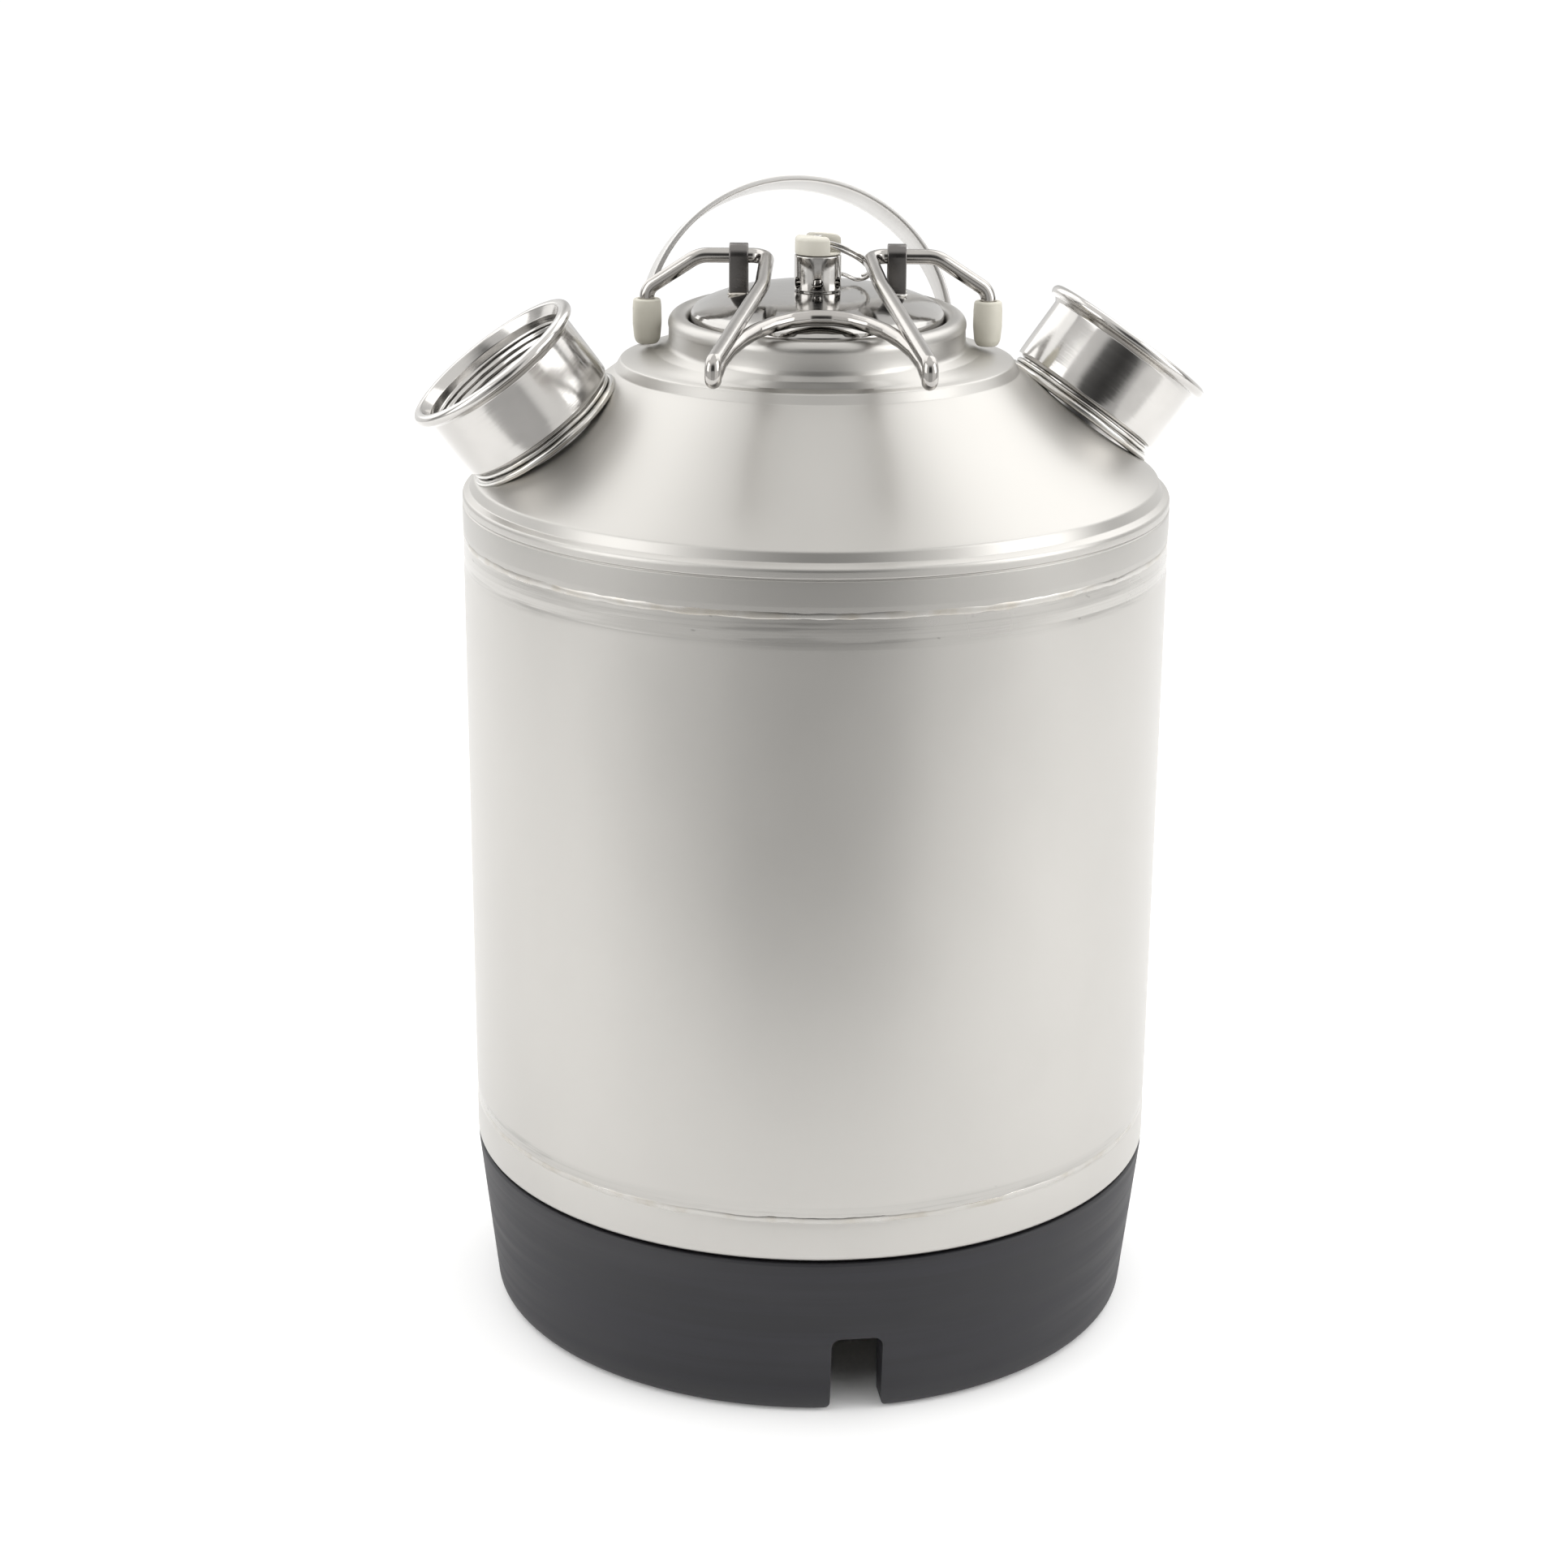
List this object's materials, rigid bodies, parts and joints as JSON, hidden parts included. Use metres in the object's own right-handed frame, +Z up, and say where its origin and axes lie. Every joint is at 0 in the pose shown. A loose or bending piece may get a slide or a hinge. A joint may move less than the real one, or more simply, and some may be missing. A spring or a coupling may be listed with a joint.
{
  "type": "soda keg",
  "caption": "Steel beverage keg on a rubber base with an oval lid held by a wire bail, a pull-ring relief valve, slanted threaded necks and a strap handle.",
  "frame": {"origin": "middle of the rubber base, on the floor, on the body's axis", "axes": "+Z up along the body's axis; X along the line the bail pivots on, across the oval lid; -Y is the side that the bail's lever points to when closed"},
  "size_m": [0.2396, 0.216, 0.3528],
  "materials": {
    "satin_steel": "satin",
    "polished_steel": "polished",
    "cream_rubber": "matte",
    "cream_plastic": "matte",
    "black_rubber": "matte"
  },
  "bodies": {
    "keg": {"body_cylinder": "satin_steel", "top_dome": "satin_steel", "bottom_dome": "satin_steel", "rubber_boot": "black_rubber", "neck_left": "polished_steel", "neck_right": "polished_steel", "strap_handle": "satin_steel"},
    "lid": {"lid_plate": "polished_steel", "lid_gasket": "black_rubber", "bail_bracket_left": "polished_steel", "bail_bracket_right": "polished_steel", "prv_boss": "satin_steel", "prv_body": "polished_steel", "prv_cap": "cream_plastic"},
    "bail": {"bail_wire": "polished_steel", "bail_foot_left": "cream_rubber", "bail_foot_right": "cream_rubber"},
    "valve_stem": {"prv_stem": "polished_steel", "prv_poppet": "satin_steel", "prv_seal": "black_rubber", "prv_spring": "polished_steel"},
    "pull_ring": {"prv_ring": "polished_steel"}
  },
  "joints": [
    {"name": "lid_drop", "type": "slide", "parent": "keg", "child": "lid", "axis": [0, 0, 1], "range_m": [-0.00472, 0]},
    {"name": "bail_swing", "type": "hinge", "parent": "lid", "child": "bail", "pos_m": [0, 0, 0.3322], "axis": [1, 0, 0], "range_deg": [-104, 0]},
    {"name": "valve_pull", "type": "slide", "parent": "lid", "child": "valve_stem", "axis": [0, 0, 1], "range_m": [0, 0.0015], "stiffness_N_per_m": 900, "springref_m": -0.006, "deforming": ["prv_spring"]},
    {"name": "ring_swing", "type": "hinge", "parent": "valve_stem", "child": "pull_ring", "pos_m": [0, 0, 0.3362], "axis": [0.848, -0.5299, 0], "range_deg": [0, 140]}
  ],
  "couplings": [
    {"joint": "lid_drop", "follows": "bail_swing", "m_per_rad": 0.0026}
  ]
}
